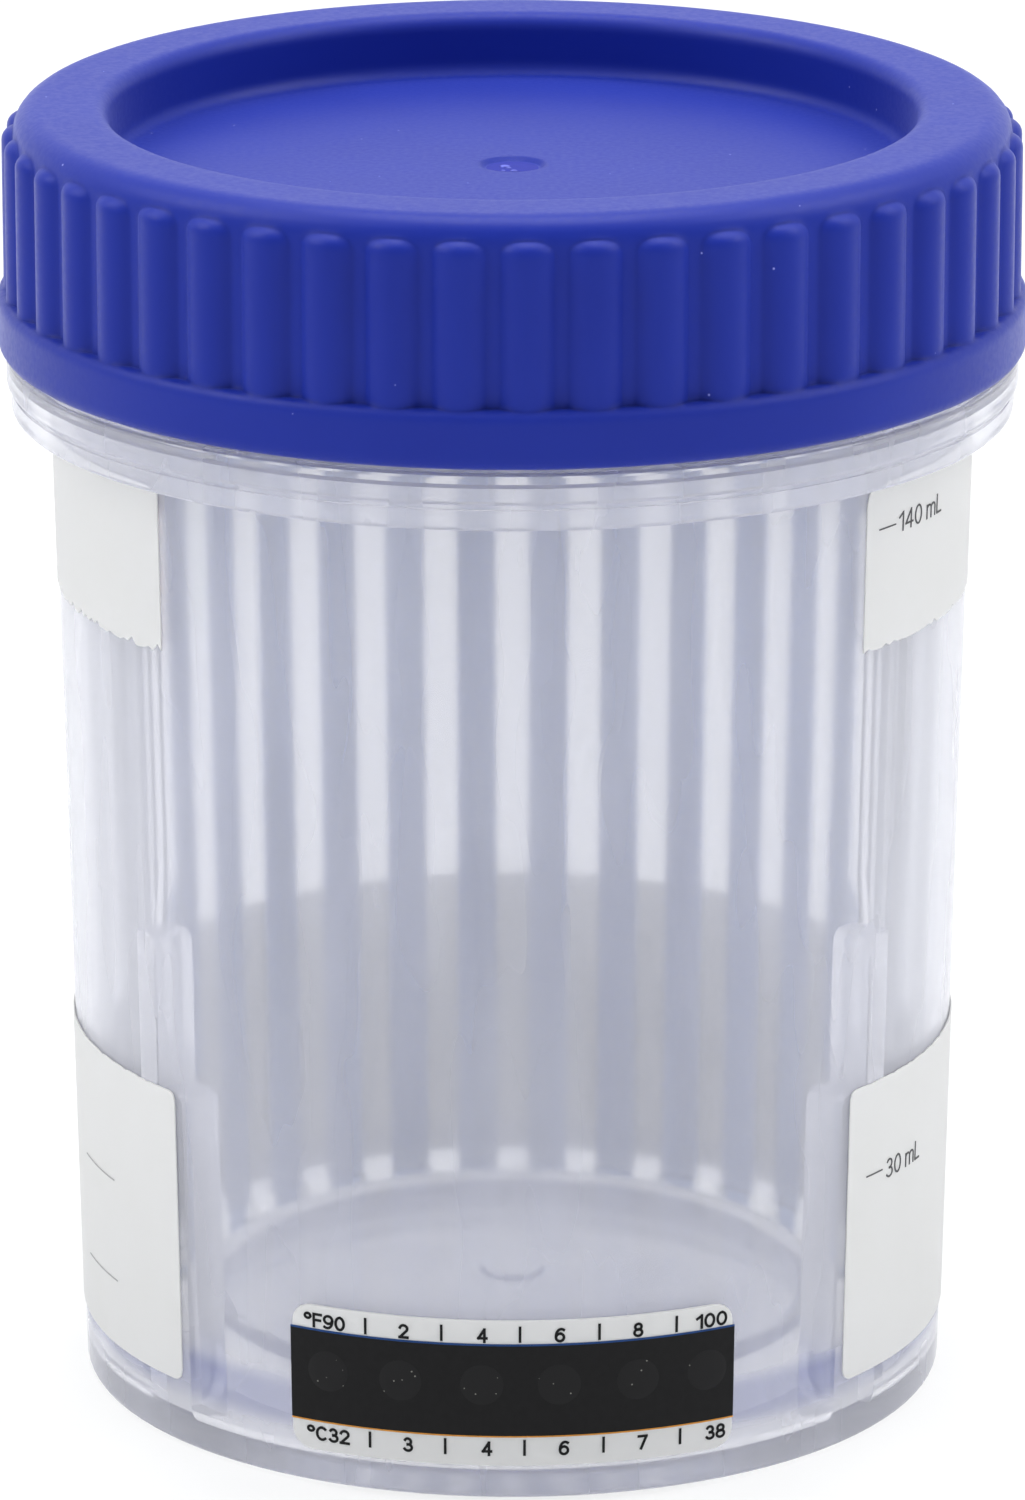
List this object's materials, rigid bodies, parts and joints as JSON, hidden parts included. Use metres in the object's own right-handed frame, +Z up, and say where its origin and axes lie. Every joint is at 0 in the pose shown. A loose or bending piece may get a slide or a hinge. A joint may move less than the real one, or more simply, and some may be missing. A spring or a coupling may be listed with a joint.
{
  "type": "drug test cup",
  "caption": "Translucent specimen cup with a blue screw lid, a curved carrier of test strips inside the rear wall, film labels and a temperature strip.",
  "frame": {"origin": "centre of the standing ring, on the ground", "axes": "+Z up along the cup's axis; -Y is the front, with the temperature strip; the test strips are on the +Y side"},
  "size_m": [0.068, 0.068, 0.087],
  "materials": {
    "cup_plastic": "clear natural polypropylene, slightly hazy",
    "lid_plastic": "moulded polyethylene, satin",
    "gasket_foam": "closed-cell foam, matt",
    "carrier_plastic": "clear natural polypropylene",
    "label_film": "white printed film, satin",
    "temperature_film": "black liquid-crystal film with white borders",
    "backing_card": "laminate backing card, matt",
    "sample_pad": "cellulose fibre pad",
    "membrane": "nitrocellulose membrane",
    "absorbent_pad": "absorbent pad under printed tape"
  },
  "bodies": {
    "cup": {"cup_body": "cup_plastic", "strip_carrier": "carrier_plastic", "label_upper": "label_film", "label_lower": "label_film", "temperature_strip": "temperature_film", "backing_card_01": "backing_card", "backing_card_02": "backing_card", "backing_card_03": "backing_card", "backing_card_04": "backing_card", "backing_card_05": "backing_card", "backing_card_06": "backing_card", "backing_card_07": "backing_card", "backing_card_08": "backing_card", "backing_card_09": "backing_card", "backing_card_10": "backing_card", "backing_card_11": "backing_card", "backing_card_12": "backing_card", "sample_pad_01": "sample_pad", "sample_pad_02": "sample_pad", "sample_pad_03": "sample_pad", "sample_pad_04": "sample_pad", "sample_pad_05": "sample_pad", "sample_pad_06": "sample_pad", "sample_pad_07": "sample_pad", "sample_pad_08": "sample_pad", "sample_pad_09": "sample_pad", "sample_pad_10": "sample_pad", "sample_pad_11": "sample_pad", "sample_pad_12": "sample_pad", "membrane_01": "membrane", "membrane_02": "membrane", "membrane_03": "membrane", "membrane_04": "membrane", "membrane_05": "membrane", "membrane_06": "membrane", "membrane_07": "membrane", "membrane_08": "membrane", "membrane_09": "membrane", "membrane_10": "membrane", "membrane_11": "membrane", "membrane_12": "membrane", "absorbent_pad_01": "absorbent_pad", "absorbent_pad_02": "absorbent_pad", "absorbent_pad_03": "absorbent_pad", "absorbent_pad_04": "absorbent_pad", "absorbent_pad_05": "absorbent_pad", "absorbent_pad_06": "absorbent_pad", "absorbent_pad_07": "absorbent_pad", "absorbent_pad_08": "absorbent_pad", "absorbent_pad_09": "absorbent_pad", "absorbent_pad_10": "absorbent_pad", "absorbent_pad_11": "absorbent_pad", "absorbent_pad_12": "absorbent_pad"},
    "seal": {"lid_gasket": "gasket_foam"},
    "lid": {"lid": "lid_plastic"}
  },
  "joints": [
    {"name": "lid_lift", "type": "slide", "parent": "cup", "child": "seal", "axis": [0, 0, 1], "range_m": [0, 0.005]},
    {"name": "lid_turn", "type": "hinge", "parent": "seal", "child": "lid", "pos_m": [0, 0, 0.0775], "axis": [0, 0, 1], "range_deg": [0, 450]}
  ],
  "couplings": [
    {"joint": "lid_lift", "follows": "lid_turn", "m_per_rad": 0.00063662}
  ]
}
